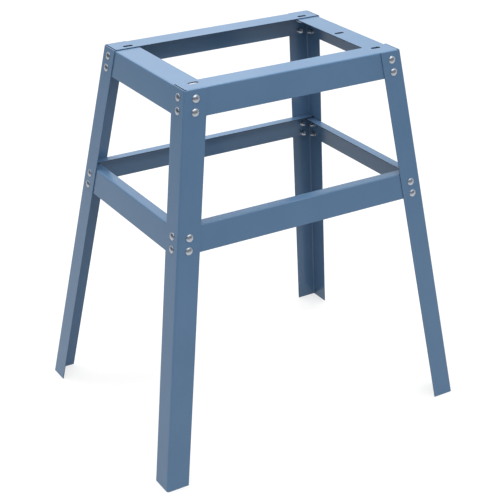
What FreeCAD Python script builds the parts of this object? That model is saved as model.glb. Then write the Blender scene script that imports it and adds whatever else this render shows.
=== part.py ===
"""Bench grinder stand: four splayed angle legs bolted to a top frame and a lower frame.

Millimetres, +Z up. The origin is on the floor under the middle of the stand, X runs along
its length and Y from the front to the back. Every part is folded from sheet steel or is a
standard fastener, and each one is written to parts/ as its own STEP file.
"""
import FreeCAD, Part
import math
import os

Vector = FreeCAD.Vector

# ---- Overall sizes ----
stand_height = 800.0        # floor to the upper face of the top frame
top_length = 503.0          # over the legs' outer faces, at the top
top_depth = 343.0
foot_length = 739.0         # over the feet, on the floor
foot_depth = 561.0

# ---- Folded sheet steel ----
sheet = 2.0
leg_flange = 49.5           # width of each leg flange, measured level
leg_bend_radius = 3.0       # inside of the bend
leg_top_drop = 0.5          # the legs stop this far below the top frame's upper face
rail_web = 55.0             # height of every rail, along its leaning web
rail_bend_radius = 1.0      # inside of the bend
rail_end_clearance = 1.0    # between a rail's end and the bend that it runs up to
flange_end_gap = 2.0        # between a front or rear rail's flange and the leg beside its end
side_flange = 46.0          # flat upper flange of the top frame's front and rear rails
end_flange = 55.5           # the same, of its left and right rails
lower_flange = 21.5         # the same, of all four lower rails
lower_frame_drop = 262.5    # upper face of the lower front and rear rails, below the top
lower_end_step = 4.5        # the lower left and right rails sit this much lower still

# ---- Mounting slots in the top frame, long axis along X ----
slot_length = 22.0
slot_width = 9.0
slot_inset_x = 20.0         # slot centre to the inner edge of the left or right flange
slot_inset_y = 13.0         # slot centre to the inner edge of the front or rear flange
middle_slot_y = -7.0        # extra slot in the right rail
clearance_slot_length = 30.0    # under the corner slots, in the left and right rails
clearance_slot_width = 17.0

# ---- M6 carriage bolts, plain washers and nuts ----
bolt_gauge = 25.0           # bolt centre to the leg's outer corner, measured level
bolt_pitch = 26.0           # between the two bolts of a joint, along the leg
bolt_row_drop = 1.5         # the bolts sit this far below the middle of the web
bolt_diameter = 6.0
bolt_head_diameter = 16.0
bolt_head_height = 3.4
neck_width = 6.4            # the square neck that stops the bolt turning
neck_short = 0.4            # the neck ends this far before the washer
bolt_tip = 5.4              # thread that stands out of the nut
washer_diameter = 12.0
washer_thickness = 1.6
nut_across_flats = 10.0
nut_height = 5.0
hole_clearance = 0.2        # around the neck in its square hole, and in the washer
thread_clearance = 0.05     # between the bolt and the nut's bore
fastener_flats = 12         # small round faces are drawn with flats, to keep them light
dome_rings = 3

# ---- Worked out from the sizes above ----
end_lean = math.atan((foot_length - top_length) / 2 / stand_height)
side_lean = math.atan((foot_depth - top_depth) / 2 / stand_height)
leg_slope = math.hypot(1.0, math.tan(end_lean), math.tan(side_lean))
end_sheet = sheet / math.cos(end_lean)      # sheet thickness as a level cut shows it
side_sheet = sheet / math.cos(side_lean)
rail_end_gap = max(leg_bend_radius, sheet + rail_bend_radius) + rail_end_clearance
web_drop = rail_web * math.cos(end_lean)    # level height of a left or right rail's web
grip = 2 * sheet                            # leg and rail together

sides = {"front": -1, "rear": 1}
ends = {"left": -1, "right": 1}
legs = {f"{side}_{end}": (ends[end], sides[side]) for side in sides for end in ends}
levels = {
    "top": (stand_height, stand_height - sheet, side_flange, end_flange),
    "lower": (
        stand_height - lower_frame_drop,
        stand_height - lower_frame_drop - lower_end_step,
        lower_flange,
        lower_flange,
    ),
}


def half_length(z):
    """X of the legs' outer faces at height z."""
    return top_length / 2 + (stand_height - z) * math.tan(end_lean)


def half_depth(z):
    """Y of the legs' outer faces at height z."""
    return top_depth / 2 + (stand_height - z) * math.tan(side_lean)


def line(start, end):
    return Part.LineSegment(start, end).toShape()


def bend(corner, first, second, radius):
    """Start, middle and end of the arc that rounds a corner between two directions."""
    half = first.getAngle(second) / 2
    middle = (first + second).normalize()
    tangent = radius / math.tan(half)
    to_arc = radius / math.sin(half) - radius
    return corner + first * tangent, corner + middle * to_arc, corner + second * tangent


def angle_face(corner, first, width1, sheet1, second, width2, sheet2, inner_radius):
    """Cross-section of a folded angle, its outer corner and its two flanges given."""
    opening = math.sin(first.getAngle(second))
    inward1 = (second - first * first.dot(second)).normalize()
    inward2 = (first - second * first.dot(second)).normalize()
    inner = corner + first * (sheet2 / opening) + second * (sheet1 / opening)
    outer_arc = bend(corner, first, second, inner_radius + sheet)
    inner_arc = bend(inner, first, second, inner_radius)
    tip1 = corner + first * width1
    tip2 = corner + second * width2
    tip1_inside = tip1 + inward1 * sheet1
    tip2_inside = tip2 + inward2 * sheet2
    edges = [
        line(tip1, outer_arc[0]),
        Part.Arc(*outer_arc).toShape(),
        line(outer_arc[2], tip2),
        line(tip2, tip2_inside),
        line(tip2_inside, inner_arc[2]),
        Part.Arc(*reversed(inner_arc)).toShape(),
        line(inner_arc[0], tip1_inside),
        line(tip1_inside, tip1),
    ]
    return Part.Face(Part.Wire(edges))


def bolt_places(level, leg, faces):
    """Placements on a leg's outer faces: Z out of the face, X level along it."""
    end, side = legs[leg]
    middle = levels[level][1] - web_drop / 2 - bolt_row_drop
    places = []
    for face in faces:
        for row in (-1, 1):
            z = middle + row * bolt_pitch / 2 / leg_slope
            if face == "side":
                point = Vector(end * (half_length(z) - bolt_gauge), side * half_depth(z), z)
                level_axis = Vector(1, 0, 0)
                outward = Vector(0, side * math.cos(side_lean), math.sin(side_lean))
            else:
                point = Vector(end * half_length(z), side * (half_depth(z) - bolt_gauge), z)
                level_axis = Vector(0, 1, 0)
                outward = Vector(end * math.cos(end_lean), 0, math.sin(end_lean))
            turn = FreeCAD.Rotation(level_axis, outward.cross(level_axis), outward, "ZXY")
            places.append(FreeCAD.Placement(point, turn))
    return places


def square_holes(places):
    """Cutters for the square holes that pass through the leg and the rail behind it."""
    width = neck_width + 2 * hole_clearance
    cutter = Part.makeBox(width, width, 3 * grip, Vector(-width / 2, -width / 2, -2 * grip))
    return [placed(cutter, place) for place in places]


def placed(shape, place):
    copy = shape.copy()
    copy.Placement = place
    return copy


def slot_centres():
    x = half_length(levels["top"][1]) - end_sheet - end_flange + slot_inset_x
    y = half_depth(stand_height) - side_sheet - side_flange + slot_inset_y
    return x, y


def slot_cutter(x, y, length=slot_length, width=slot_width):
    """Long round-ended hole through a flange of the top frame."""
    radius = width / 2
    straight = (length - width) / 2
    z = stand_height - 3 * sheet
    right = Vector(x + straight, y, z)
    left = Vector(x - straight, y, z)
    up = Vector(0, radius, 0)
    along = Vector(radius, 0, 0)
    edges = [
        line(left + up, right + up),
        Part.Arc(right + up, right + along, right - up).toShape(),
        line(right - up, left - up),
        Part.Arc(left - up, left - along, left + up).toShape(),
    ]
    return Part.Face(Part.Wire(edges)).extrude(Vector(0, 0, 4 * sheet))


def trimmed(rail, half_width, top, across):
    """Cuts both ends of a rail parallel to the leg flanges that it runs up to."""
    high = top + sheet
    low = top - rail_web - sheet
    reach = 2 * max(foot_length, foot_depth)
    points = [(half_width(high), high), (half_width(low), low)]
    outline = points + [(-width, z) for width, z in reversed(points)]
    if across == "y":
        corners = [Vector(width, -reach, z) for width, z in outline]
        depth = Vector(0, 2 * reach, 0)
    else:
        corners = [Vector(-reach, width, z) for width, z in outline]
        depth = Vector(2 * reach, 0, 0)
    block = Part.Face(Part.makePolygon(corners + corners[:1])).extrude(depth)
    return rail.common(block)


def make_leg(name):
    """One leg: an angle whose level section rises along a line that leans both ways."""
    end, side = legs[name]
    foot = Vector(end * half_length(0), side * half_depth(0), 0)
    top = stand_height - leg_top_drop
    head = Vector(end * half_length(top), side * half_depth(top), top)
    section = angle_face(
        foot,
        Vector(-end, 0, 0), leg_flange, side_sheet,
        Vector(0, -side, 0), leg_flange, end_sheet,
        leg_bend_radius,
    )
    blank = section.extrude(head - foot)
    holes = [cut for level in levels for cut in square_holes(bolt_places(level, name, ("side", "end")))]
    return blank.cut(holes)


def make_side_rail(level, side_name):
    """Front or rear rail: web flat against two legs, flange a little longer than the web."""
    side = sides[side_name]
    top, _, flange, _ = levels[level]
    reach = half_length(0)
    corner = Vector(-reach, side * (half_depth(top) - side_sheet), top)
    down = Vector(0, side * math.sin(side_lean), -math.cos(side_lean))
    section = angle_face(
        corner, Vector(0, -side, 0), flange, sheet, down, rail_web, sheet, rail_bend_radius
    )
    long_rail = section.extrude(Vector(2 * reach, 0, 0))
    bend_line = corner.y - side * (sheet + rail_bend_radius)
    flat_start = min(bend_line, bend_line - side * flange)
    flat = Part.makeBox(2 * reach, flange, grip, Vector(-reach, flat_start, top - grip))
    long_flange = long_rail.common(flat)
    web_part = trimmed(long_rail, lambda z: half_length(z) - end_sheet - rail_end_gap, top, "y")
    flange_part = trimmed(long_flange, lambda z: half_length(z) - end_sheet - flange_end_gap, top, "y")
    rail = web_part.fuse(flange_part).removeSplitter()
    places = [p for end in ends for p in bolt_places(level, f"{side_name}_{end}", ("side",))]
    cuts = square_holes(places)
    if level == "top":
        x, y = slot_centres()
        cuts += [slot_cutter(-x, side * y), slot_cutter(x, side * y)]
    return rail.cut(cuts)


def make_end_rail(level, end_name):
    """Left or right rail: the top frame's two carry the side rails' flanges on theirs."""
    end = ends[end_name]
    _, top, _, flange = levels[level]
    reach = half_depth(0)
    corner = Vector(end * (half_length(top) - end_sheet), -reach, top)
    down = Vector(end * math.sin(end_lean), 0, -math.cos(end_lean))
    section = angle_face(
        corner, Vector(-end, 0, 0), flange, sheet, down, rail_web, sheet, rail_bend_radius
    )
    long_rail = section.extrude(Vector(0, 2 * reach, 0))
    rail = trimmed(long_rail, lambda z: half_depth(z) - side_sheet - rail_end_gap, top, "x")
    places = [p for side in sides for p in bolt_places(level, f"{side}_{end_name}", ("end",))]
    cuts = square_holes(places)
    if level == "top":
        x, y = slot_centres()
        for side in sides.values():
            clearance = slot_cutter(end * x, side * y, clearance_slot_length, clearance_slot_width)
            cuts.append(clearance)
        if end_name == "right":
            cuts.append(slot_cutter(end * x, middle_slot_y))
    return rail.cut(cuts)


def ring(radius, z, sides=fastener_flats):
    """Corners of the regular polygon, level at height z, that stands for a small circle."""
    turns = [2 * math.pi * i / sides for i in range(sides)]
    return [Vector(radius * math.cos(a), radius * math.sin(a), z) for a in turns]


def facet(*corners):
    return Part.Face(Part.makePolygon([*corners, corners[0]]))


def prism(corners, height):
    return facet(*corners).extrude(Vector(0, 0, height))


def dome(rings):
    """Solid between level rings, with flat facets from each ring up to the next."""
    facets = [facet(*rings[0]), facet(*rings[-1])]
    for low, high in zip(rings, rings[1:]):
        for i in range(fastener_flats):
            facets.append(facet(low[i - 1], low[i], high[i], high[i - 1]))
    return Part.makeSolid(Part.makeShell(facets))


def make_bolt():
    """Carriage bolt: domed head above Z = 0, square neck and shank below it."""
    rim = bolt_head_diameter / 2
    dome_radius = (rim**2 + bolt_head_height**2) / (2 * bolt_head_height)
    dome_angle = math.asin(rim / dome_radius)
    centre = bolt_head_height - dome_radius
    rings = []
    for step in range(dome_rings, 0, -1):
        angle = dome_angle * step / dome_rings
        rings.append(ring(dome_radius * math.sin(angle), centre + dome_radius * math.cos(angle)))
    length = grip + washer_thickness + nut_height + bolt_tip
    shank = prism(ring(bolt_diameter / 2, -length), length)
    neck_length = grip - neck_short
    half = neck_width / 2
    neck = Part.makeBox(neck_width, neck_width, neck_length, Vector(-half, -half, -neck_length))
    return dome(rings).fuse([shank, neck]).removeSplitter()


def make_washer():
    """Plain washer against the inside of the rail."""
    seat = -grip - washer_thickness
    disc = prism(ring(washer_diameter / 2, seat), washer_thickness)
    return disc.cut(prism(ring(bolt_diameter / 2 + hole_clearance, seat), washer_thickness))


def make_nut():
    """Hexagon nut against the washer."""
    seat = -grip - washer_thickness - nut_height
    across_corners = nut_across_flats / math.cos(math.pi / 6)
    bore = prism(ring(bolt_diameter / 2 + thread_clearance, seat), nut_height)
    return prism(ring(across_corners / 2, seat, 6), nut_height).cut(bore)


def build():
    nodes = {}
    for leg in legs:
        nodes[f"leg_{leg}"] = make_leg(leg)
    for level in levels:
        for side in sides:
            nodes[f"{level}_{side}_rail"] = make_side_rail(level, side)
        for end in ends:
            nodes[f"{level}_{end}_rail"] = make_end_rail(level, end)
    for kind, fastener in (("bolts", make_bolt()), ("washers", make_washer()), ("nuts", make_nut())):
        for level in levels:
            for leg in legs:
                places = bolt_places(level, leg, ("side", "end"))
                group = Part.makeCompound([placed(fastener, place) for place in places])
                nodes[f"{kind}_{level}_{leg}"] = group
    return nodes


os.makedirs("parts", exist_ok=True)
for name, shape in build().items():
    shape.exportStep(f"parts/{name}.step")
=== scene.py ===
import math

import bmesh
import bpy
from mathutils import Matrix, Vector
from mathutils.bvhtree import BVHTree


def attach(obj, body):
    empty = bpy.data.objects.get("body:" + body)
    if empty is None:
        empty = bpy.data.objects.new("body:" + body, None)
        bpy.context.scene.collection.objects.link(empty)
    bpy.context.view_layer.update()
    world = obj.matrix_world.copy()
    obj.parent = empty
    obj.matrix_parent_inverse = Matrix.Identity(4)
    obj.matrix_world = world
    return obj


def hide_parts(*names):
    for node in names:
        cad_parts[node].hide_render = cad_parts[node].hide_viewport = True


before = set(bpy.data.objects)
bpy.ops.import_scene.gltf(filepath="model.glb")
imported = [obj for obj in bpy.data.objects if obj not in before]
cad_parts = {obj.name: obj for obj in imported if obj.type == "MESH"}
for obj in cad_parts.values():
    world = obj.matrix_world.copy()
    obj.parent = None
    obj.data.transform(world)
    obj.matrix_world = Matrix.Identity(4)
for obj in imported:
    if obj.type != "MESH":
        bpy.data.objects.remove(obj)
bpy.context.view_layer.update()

mm = 0.001

# ---- Sizes of the stand ----
stand_height = 800 * mm
top_length = 503 * mm           # over the legs' outer faces, at the top
top_depth = 343 * mm
foot_length = 739 * mm          # over the feet, on the floor
foot_depth = 561 * mm
sheet = 2 * mm
rail_web = 55 * mm
frame_tops = {"top": 798 * mm, "lower": 533 * mm}    # upper faces of the left and right rails

# ---- Enamelled sheets ----
edge_rounding = 0.3 * mm        # of the cut edges
edge_darkness_worn_and_shaded = {"rail": 1.0, "leg": 0.3}    # how dark the cut edges are painted: partly thin enamel, partly painted shade in slots and gaps between layers
cut_corner = math.radians(40)   # the least turn of a cut corner, more than a bend's facets have
sheet_crease = math.radians(60)    # where an edge turns more, its shading is sharp
sheet_merge = 1e-6              # vertices closer than this are one
probe_start = 0.01 * mm         # below the face whose thickness is measured
broad_thickness = 1.2 * sheet   # behind a broad face the steel is thinner than this
level_normal = 0.7              # a face whose normal is more upright than this is level

# ---- M6 fasteners: Z points out of the leg, and Z = 0 is its outer face ----
bolt_gauge = 25 * mm            # from the leg's corner
bolt_pitch = 26 * mm
bolt_row_drop = 1.5 * mm        # from the middle of the rail's web
head_radius = 8 * mm
head_height = 3.4 * mm
head_rim = 0.7 * mm
rim_rounding = 0.35 * mm
rim_turn = (40, -90)            # of the rim's arc in degrees, from the dome to the underside
neck_width = 6.4 * mm
neck_end = -3.6 * mm
neck_ease = 0.05 * mm           # off the neck's length, half at each end
washer_top = -2 * sheet
washer_thickness = 1.6 * mm
washer_radius = 6 * mm
washer_bore = 3.2 * mm
washer_ease = 0.2 * mm
nut_top = washer_top - washer_thickness
nut_height = 5 * mm
nut_flat = 5 * mm               # from the axis to a flat
nut_face = 4.75 * mm            # radius of the flat face, inside the chamfer
nut_chamfer = math.radians(30)
nut_bore = 3.05 * mm
nut_countersink = 0.35 * mm
thread_past_nut = 5.4 * mm
bolt_end = nut_top - nut_height - thread_past_nut
thread_radius = 3 * mm
thread_pitch = 1 * mm
thread_depth = 0.6 * mm
core_radius = thread_radius - thread_depth
thread_root = 0.48 * thread_pitch    # half the ridge's width at its root
thread_crest = 0.08 * thread_pitch   # half its width at its crest
root_sink = 0.05 * mm           # of the ridge in the core
crest_trim = 0.06 * mm
bare_end = 0.3 * mm             # of the shank, past the thread
tip_length = 0.7 * mm
tip_taper = 0.42 * mm

# ---- Fineness of the fasteners ----
round_steps = 48
thread_steps = 24               # in one turn of the thread
dome_steps = 10
rim_steps = 4
fastener_merge = 1e-7
turned_crease = math.radians(35)
nut_crease = math.radians(25)

# ---- Finishes ----
enamel_tones = ((0.108, 0.204, 0.342), (0.118, 0.218, 0.362))
# painted shade and thin enamel, for the cut edges that face sideways
dark_enamel_and_shade = (0.035, 0.058, 0.10)
enamel_roughness = (0.18, 0.22)
enamel_specular = 0.28
orange_peel = 0.06 * mm
zinc_tones = ((0.42, 0.45, 0.50), (0.47, 0.49, 0.52))
zinc_roughness = (0.28, 0.37)
zinc_grain = 0.01 * mm
noise_low = 0.3                 # most of a noise lies between these two
noise_high = 0.7

# ---- Camera ----
camera_target = Vector((-1.6, 1.0, 335.9)) * mm
camera_distance = 2.856
camera_azimuth = math.radians(31.66)
camera_elevation = math.radians(26.10)
camera_roll = math.radians(0.17)
camera_lens = 93.09
camera_near_end = 0.05

# ---- Lamps, floor and room ----
ambient_level = 1.01
lamp_aim = Vector((0, 0, 0.5))
lamps = {
    "overhead": {"place": (0.1, 0.42, 3.5), "size": (2.6, 0.4), "power": 49},
    "front": {"place": (0.0, -2.2, 3.0), "size": (2.6, 0.6), "power": 20},
    "rear": {"place": (0.5, 3.2, 2.5), "size": (3.0, 1.6), "power": 5.5},
}
floor_reach = 40
floor_drop = 0.2 * mm           # below the feet
floor_bounce = 0.10             # albedo that lights the stand from below
floor_albedo = 0.30             # albedo that is seen, with the stand's shadow
floor_glow = 0.70
floor_fade = (-0.4, -4.4)       # from white to dim, to the left and in front
room_fade = (-0.2, -0.6)        # the same for the room, on a direction's X and Y
height_fade = (0.62, 0.42)      # and from the lamps' height down, on a direction's Z
dim_room = (0.10, 0.14, 0.19)
front_dimness = 0.85            # how dim it is in front, as a share of that on the left

end_lean = math.atan((foot_length - top_length) / 2 / stand_height)
side_lean = math.atan((foot_depth - top_depth) / 2 / stand_height)
leg_slope = math.hypot(1.0, math.tan(end_lean), math.tan(side_lean))

corners = {
    f"{side}_{end}": (x, y)
    for side, y in (("front", -1), ("rear", 1))
    for end, x in (("left", -1), ("right", 1))
}


# ---- Materials ----
class Nodes:
    """A material's node tree, with one short call for each node."""

    def __init__(self, name):
        self.material = bpy.data.materials.new(name)
        self.material.use_nodes = True
        self.tree = self.material.node_tree
        self.shader = self.tree.nodes["Principled BSDF"]
        self.position = self.add("ShaderNodeTexCoord").outputs["Object"]

    def add(self, kind, **settings):
        node = self.tree.nodes.new(kind)
        for name, value in settings.items():
            setattr(node, name, value)
        return node

    def link(self, source, target):
        self.tree.links.new(source, target)

    def noise(self, scale, detail):
        node = self.add("ShaderNodeTexNoise")
        self.link(self.position, node.inputs["Vector"])
        node.inputs["Scale"].default_value = scale
        node.inputs["Detail"].default_value = detail
        return node.outputs["Fac"]

    def ramp(self, noise, low=0.0, high=1.0):
        """Spreads a noise over the range from low to high."""
        node = self.add("ShaderNodeMapRange")
        self.link(noise, node.inputs["Value"])
        node.inputs["From Min"].default_value = noise_low
        node.inputs["From Max"].default_value = noise_high
        node.inputs["To Min"].default_value = low
        node.inputs["To Max"].default_value = high
        return node.outputs["Result"]

    def mix(self, factor, first, second):
        node = self.add("ShaderNodeMix", data_type="RGBA")
        self.link(factor, node.inputs["Factor"])
        for socket, colour in ((node.inputs["A"], first), (node.inputs["B"], second)):
            if isinstance(colour, tuple):
                socket.default_value = (*colour, 1)
            else:
                self.link(colour, socket)
        return node.outputs["Result"]

    def bump(self, height, distance):
        node = self.add("ShaderNodeBump")
        node.inputs["Distance"].default_value = distance
        self.link(height, node.inputs["Height"])
        return node.outputs["Normal"]


def enamel():
    """Smooth stoved enamel with a fine orange peel, its sideways cut edges painted darker: partly
    thin enamel, partly painted shade.
    """
    m = Nodes("blue_grey_enamel")
    colour = m.mix(m.ramp(m.noise(scale=9, detail=4)), *enamel_tones)
    # sideways cut edges are darker: thin enamel, and painted shade in slots and between layers
    worn_shaded_edge = m.add("ShaderNodeAttribute", attribute_name="worn_shaded_edge").outputs["Fac"]
    m.link(m.mix(worn_shaded_edge, colour, dark_enamel_and_shade), m.shader.inputs["Base Color"])
    roughness = m.ramp(m.noise(scale=60, detail=3), *enamel_roughness)
    m.link(roughness, m.shader.inputs["Roughness"])
    m.shader.inputs["Specular IOR Level"].default_value = enamel_specular
    peel = m.bump(m.noise(scale=420, detail=2), orange_peel)
    m.link(peel, m.shader.inputs["Normal"])
    return m.material


def zinc():
    """Bright zinc plate with a faint blue and yellow passivation."""
    m = Nodes("bright_zinc")
    colour = m.mix(m.ramp(m.noise(scale=160, detail=3)), *zinc_tones)
    m.link(colour, m.shader.inputs["Base Color"])
    m.shader.inputs["Metallic"].default_value = 1.0
    roughness = m.ramp(m.noise(scale=700, detail=3), *zinc_roughness)
    m.link(roughness, m.shader.inputs["Roughness"])
    grain = m.bump(m.noise(scale=1500, detail=2), zinc_grain)
    m.link(grain, m.shader.inputs["Normal"])
    return m.material


# ---- Making pieces ----
def new_piece(name, bm, material, node):
    """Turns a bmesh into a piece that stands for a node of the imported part."""
    mesh = bpy.data.meshes.new(name)
    bm.to_mesh(mesh)
    bm.free()
    mesh.materials.append(material)
    piece = bpy.data.objects.new(name, mesh)
    bpy.context.scene.collection.objects.link(piece)
    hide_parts(node)
    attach(piece, "root")
    return piece


def smooth_shaded(bm, crease):
    for face in bm.faces:
        face.smooth = True
    for edge in bm.edges:
        edge.smooth = len(edge.link_faces) != 2 or edge.calc_face_angle(0) < crease


def paint_worn_and_shaded_edges(bm, darkness_worn_and_shaded):
    """Marks the cut edges that face sideways, behind which the steel is thicker than the sheet, for
    a darker colour: partly thin enamel, partly painted shade in slots and gaps between layers.
    Level edges are left out, because light falls on them.
    """
    skin = BVHTree.FromBMesh(bm)
    worn_shaded_edge = bm.faces.layers.float.new("worn_shaded_edge")
    for face in bm.faces:
        start = face.calc_center_median() - face.normal * probe_start
        depth = skin.ray_cast(start, -face.normal)[3]
        broad = depth is not None and depth < broad_thickness
        # level faces stay unpainted because light falls on them; the rest get the painted shade
        level = abs(face.normal.z) > level_normal
        face[worn_shaded_edge] = 0.0 if broad or level else darkness_worn_and_shaded


def sheet_piece(node, material):
    """A folded sheet with its cut edges rounded over, as enamel leaves them."""
    bm = bmesh.new()
    bm.from_mesh(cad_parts[node].data)
    bmesh.ops.remove_doubles(bm, verts=bm.verts, dist=sheet_merge)
    cut_corners = [e for e in bm.edges if e.calc_face_angle(0) > cut_corner]
    bmesh.ops.bevel(
        bm, geom=cut_corners, offset=edge_rounding, offset_type="OFFSET", segments=2, profile=0.5,
        affect="EDGES", material=-1, clamp_overlap=True,
    )
    smooth_shaded(bm, sheet_crease)
    paint_worn_and_shaded_edges(bm, edge_darkness_worn_and_shaded["leg" if node.startswith("leg_") else "rail"])
    piece = new_piece(f"{node}_enamelled", bm, material, node)
    weighted = piece.modifiers.new("flat_faces_stay_flat", "WEIGHTED_NORMAL")
    weighted.keep_sharp = True


def spun(bm, outline, closed=True):
    """Turns an outline of (radius, height) points all the way round the Z axis."""
    verts = [bm.verts.new((r, 0, z)) for r, z in outline]
    pairs = list(zip(verts, verts[1:]))
    if closed:
        pairs.append((verts[-1], verts[0]))
    edges = [bm.edges.new(pair) for pair in pairs]
    bmesh.ops.spin(
        bm, geom=verts + edges, cent=(0, 0, 0), axis=(0, 0, 1), angle=2 * math.pi,
        steps=round_steps, use_merge=True,
    )
    bmesh.ops.remove_doubles(bm, verts=bm.verts, dist=fastener_merge)
    bmesh.ops.recalc_face_normals(bm, faces=bm.faces)


def arc(centre, radius, start, end, steps):
    """Points of an arc in the (radius, height) plane, angles in degrees."""
    turns = [math.radians(start + (end - start) * i / steps) for i in range(steps + 1)]
    return [(centre[0] + radius * math.cos(a), centre[1] + radius * math.sin(a)) for a in turns]


def screw_thread(bm, low, high):
    """A ridge that winds round the shank from one height to the other."""
    ridge = [
        (core_radius - root_sink, -thread_root),
        (thread_radius - crest_trim, -thread_crest),
        (thread_radius - crest_trim, thread_crest),
        (core_radius - root_sink, thread_root),
    ]
    verts = [bm.verts.new((r, 0, low + thread_pitch / 2 + z)) for r, z in ridge]
    face = bm.faces.new(verts)
    climb = high - low - thread_pitch
    turns = climb / thread_pitch
    steps = int(turns * thread_steps)
    bmesh.ops.spin(
        bm, geom=[face, *face.edges, *face.verts], cent=(0, 0, 0), axis=(0, 0, 1),
        dvec=(0, 0, climb / steps), angle=2 * math.pi * turns, steps=steps, use_merge=False,
    )
    bmesh.ops.recalc_face_normals(bm, faces=bm.faces)


def bolt_mesh():
    """Carriage bolt with a domed head, a square neck and a rolled thread."""
    bm = bmesh.new()
    rise = head_height - head_rim
    dome = (head_radius**2 + rise**2) / (2 * rise)
    rim = head_radius - rim_rounding
    half_angle = math.degrees(math.asin(rim / dome))
    outline = arc((0, head_height - dome), dome, 90, 90 - half_angle, dome_steps)
    outline += arc((rim, rim_rounding), rim_rounding, *rim_turn, rim_steps)
    outline += [
        (core_radius, 0), (core_radius, bolt_end + tip_length), (core_radius - tip_taper, bolt_end),
        (0, bolt_end),
    ]
    spun(bm, outline, closed=False)
    made = bmesh.new()
    screw_thread(made, bolt_end + bare_end, neck_end)
    mesh = bpy.data.meshes.new("thread")
    made.to_mesh(mesh)
    made.free()
    bm.from_mesh(mesh)
    neck = bmesh.ops.create_cube(bm, size=1.0)["verts"]
    bmesh.ops.scale(bm, vec=(neck_width, neck_width, -neck_end - neck_ease), verts=neck)
    bmesh.ops.translate(bm, vec=(0, 0, neck_end / 2), verts=neck)
    smooth_shaded(bm, turned_crease)
    return bm


def washer_mesh():
    """Plain stamped washer, its edges slightly rounded."""
    bm = bmesh.new()
    top, low, ease = washer_top, nut_top, washer_ease
    spun(bm, [
        (washer_bore + ease, top), (washer_radius - ease, top), (washer_radius, top - ease),
        (washer_radius, low + ease), (washer_radius - ease, low), (washer_bore + ease, low),
        (washer_bore, low + ease), (washer_bore, top - ease),
    ])
    smooth_shaded(bm, turned_crease)
    return bm


def nut_mesh():
    """Hexagon nut: a turned blank with chamfered faces, cut to six flats."""
    bm = bmesh.new()
    top, low, sink = nut_top, nut_top - nut_height, nut_countersink
    corner = nut_flat / math.cos(math.pi / 6)
    drop = (corner - nut_face) * math.tan(nut_chamfer)
    spun(bm, [
        (nut_bore + sink, top), (nut_face, top), (corner, top - drop), (corner, low + drop),
        (nut_face, low), (nut_bore + sink, low), (nut_bore, low + sink), (nut_bore, top - sink),
    ])
    for i in range(6):
        turn = math.pi / 3 * i + math.pi / 6
        out = Vector((math.cos(turn), math.sin(turn), 0))
        cut = bmesh.ops.bisect_plane(
            bm, geom=[*bm.verts, *bm.edges, *bm.faces], dist=fastener_merge,
            plane_co=out * nut_flat, plane_no=out, clear_outer=True,
        )
        rim = [e for e in cut["geom_cut"] if isinstance(e, bmesh.types.BMEdge)]
        bmesh.ops.edgeloop_fill(bm, edges=rim)
    bmesh.ops.recalc_face_normals(bm, faces=bm.faces)
    smooth_shaded(bm, nut_crease)
    return bm


def half_length(z):
    return top_length / 2 + (stand_height - z) * math.tan(end_lean)


def half_depth(z):
    return top_depth / 2 + (stand_height - z) * math.tan(side_lean)


def fastener_places(level, corner):
    """Where the four bolts of a joint sit, each as a matrix with Z out of the leg."""
    end, side = corners[corner]
    middle = frame_tops[level] - rail_web * math.cos(end_lean) / 2 - bolt_row_drop
    places = []
    for face in ("side", "end"):
        for row in (-1, 1):
            z = middle + row * bolt_pitch / 2 / leg_slope
            if face == "side":
                point = Vector((end * (half_length(z) - bolt_gauge), side * half_depth(z), z))
                across = Vector((1, 0, 0))
                out = Vector((0, side * math.cos(side_lean), math.sin(side_lean)))
            else:
                point = Vector((end * half_length(z), side * (half_depth(z) - bolt_gauge), z))
                across = Vector((0, 1, 0))
                out = Vector((end * math.cos(end_lean), 0, math.sin(end_lean)))
            turn = Matrix((across, out.cross(across), out)).transposed().to_4x4()
            places.append(Matrix.Translation(point) @ turn)
    return places


def fastener_groups(kind, made, material):
    """Sets four copies of a fastener at each joint of each leg."""
    mesh = bpy.data.meshes.new(kind)
    made.to_mesh(mesh)
    made.free()
    for level in frame_tops:
        for corner in corners:
            bm = bmesh.new()
            for place in fastener_places(level, corner):
                copy = mesh.copy()
                copy.transform(place)
                bm.from_mesh(copy)
                bpy.data.meshes.remove(copy)
            node = f"{kind}_{level}_{corner}"
            new_piece(f"{node}_plated", bm, material, node)


# ---- Studio ----
def combined(nodes, links, operation, first, second):
    """Two factors made one by a Math node."""
    node = nodes.new("ShaderNodeMath")
    node.operation = operation
    links.new(first, node.inputs[0])
    links.new(second, node.inputs[1])
    return node.outputs[0]


def mixed_shaders(nodes, links, factor, first, second):
    node = nodes.new("ShaderNodeMixShader")
    links.new(factor, node.inputs["Fac"])
    links.new(first, node.inputs[1])
    links.new(second, node.inputs[2])
    return node.outputs[0]


def background_rays(nodes, links):
    """Two factors: 1 for what the camera sees, straight or by reflection or through glass,
    and 1 for what it sees by reflection."""
    path = nodes.new("ShaderNodeLightPath")
    seen = path.outputs["Is Camera Ray"]
    for ray in ("Is Glossy Ray", "Is Transmission Ray"):
        seen = combined(nodes, links, "MAXIMUM", seen, path.outputs[ray])
    return seen, path.outputs["Is Glossy Ray"]


def smooth_step(nodes, links, source, start, finish, most=1.0):
    """A factor that grows from 0 at the start to its most at the finish."""
    step = nodes.new("ShaderNodeMapRange")
    step.interpolation_type = "SMOOTHSTEP"
    links.new(source, step.inputs["Value"])
    step.inputs["From Min"].default_value = start
    step.inputs["From Max"].default_value = finish
    step.inputs["To Max"].default_value = most
    return step.outputs["Result"]


def past_the_sweep(nodes, links, vector, fade):
    """A factor that grows to the left and in front, where the white sweep ends, and the
    vector's height."""
    split = nodes.new("ShaderNodeSeparateXYZ")
    links.new(vector, split.inputs[0])
    left = smooth_step(nodes, links, split.outputs["X"], *fade)
    front = smooth_step(nodes, links, split.outputs["Y"], *fade, front_dimness)
    return combined(nodes, links, "MAXIMUM", left, front), split.outputs["Z"]


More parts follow.
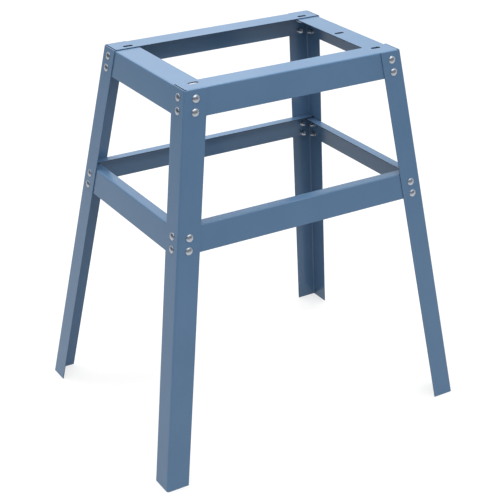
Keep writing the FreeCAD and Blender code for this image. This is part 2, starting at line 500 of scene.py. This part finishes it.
def add_world():
    """White to the camera, and to reflections too, except low on the left and in front."""
    world = bpy.data.worlds.new("studio")
    bpy.context.scene.world = world
    world.use_nodes = True
    nodes, links = world.node_tree.nodes, world.node_tree.links
    ambient = nodes["Background"]
    ambient.inputs["Color"].default_value = (1, 1, 1, 1)
    ambient.inputs["Strength"].default_value = ambient_level
    seen = nodes.new("ShaderNodeBackground")
    seen.inputs["Strength"].default_value = 1.0
    background, glossy = background_rays(nodes, links)
    direction = nodes.new("ShaderNodeTexCoord").outputs["Generated"]
    room, height = past_the_sweep(nodes, links, direction, room_fade)
    below_lamps = smooth_step(nodes, links, height, *height_fade)
    low_room = combined(nodes, links, "MULTIPLY", room, below_lamps)
    dim = combined(nodes, links, "MULTIPLY", low_room, glossy)
    tint = nodes.new("ShaderNodeMix")
    tint.data_type = "RGBA"
    links.new(dim, tint.inputs["Factor"])
    tint.inputs["A"].default_value = (1, 1, 1, 1)
    tint.inputs["B"].default_value = (*dim_room, 1)
    links.new(tint.outputs["Result"], seen.inputs["Color"])
    mixed = mixed_shaders(nodes, links, background, ambient.outputs[0], seen.outputs[0])
    links.new(mixed, nodes["World Output"].inputs["Surface"])


def grey(level):
    return (level, level, level, 1)


def white_floor():
    """White where it is seen, with the stand's shadow, but throwing back little light."""
    material = bpy.data.materials.new("white_floor")
    material.use_nodes = True
    nodes, links = material.node_tree.nodes, material.node_tree.links
    nodes.remove(nodes["Principled BSDF"])
    unseen = nodes.new("ShaderNodeBsdfDiffuse")
    unseen.inputs["Color"].default_value = grey(floor_bounce)
    shadowed = nodes.new("ShaderNodeBsdfDiffuse")
    shadowed.inputs["Color"].default_value = grey(floor_albedo)
    background, glossy = background_rays(nodes, links)
    place = nodes.new("ShaderNodeTexCoord").outputs["Object"]
    past = past_the_sweep(nodes, links, place, floor_fade)[0]
    dim = combined(nodes, links, "MULTIPLY", past, glossy)
    lit = combined(nodes, links, "SUBTRACT", background, dim)
    glow = nodes.new("ShaderNodeEmission")
    glow.inputs["Strength"].default_value = floor_glow
    seen = nodes.new("ShaderNodeAddShader")
    links.new(shadowed.outputs[0], seen.inputs[0])
    links.new(glow.outputs[0], seen.inputs[1])
    mixed = mixed_shaders(nodes, links, lit, unseen.outputs[0], seen.outputs[0])
    links.new(mixed, nodes["Material Output"].inputs["Surface"])
    return material


def add_floor():
    bm = bmesh.new()
    bmesh.ops.create_grid(bm, x_segments=1, y_segments=1, size=floor_reach)
    bmesh.ops.translate(bm, vec=(0, 0, -floor_drop), verts=bm.verts)
    mesh = bpy.data.meshes.new("floor")
    bm.to_mesh(mesh)
    bm.free()
    mesh.materials.append(white_floor())
    floor = bpy.data.objects.new("floor", mesh)
    bpy.context.scene.collection.objects.link(floor)


def add_softbox(name, place, size, power):
    data = bpy.data.lights.new(name, "AREA")
    data.shape = "RECTANGLE"
    data.size, data.size_y = size
    data.energy = power
    lamp = bpy.data.objects.new(name, data)
    lamp.location = place
    lamp.rotation_mode = "QUATERNION"
    lamp.rotation_quaternion = (lamp_aim - Vector(place)).to_track_quat("-Z", "Y")
    bpy.context.scene.collection.objects.link(lamp)


def add_camera():
    data = bpy.data.cameras.new("camera")
    data.lens = camera_lens
    data.clip_start = camera_near_end
    camera = bpy.data.objects.new("camera", data)
    turn = (
        Matrix.Rotation(-camera_azimuth, 4, "Z")
        @ Matrix.Rotation(math.pi / 2 - camera_elevation, 4, "X")
        @ Matrix.Rotation(camera_roll, 4, "Z")
    )
    back = turn.to_3x3() @ Vector((0, 0, 1))
    camera.matrix_world = Matrix.Translation(camera_target + back * camera_distance) @ turn
    bpy.context.scene.collection.objects.link(camera)
    bpy.context.scene.camera = camera


blue_grey = enamel()
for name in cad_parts:
    if name.endswith("_rail") or name.startswith("leg_"):
        sheet_piece(name, blue_grey)
bright = zinc()
fastener_groups("bolts", bolt_mesh(), bright)
fastener_groups("washers", washer_mesh(), bright)
fastener_groups("nuts", nut_mesh(), bright)

add_world()
add_floor()
for name, lamp in lamps.items():
    add_softbox(name, **lamp)
add_camera()
bpy.context.scene.view_settings.view_transform = "Standard"
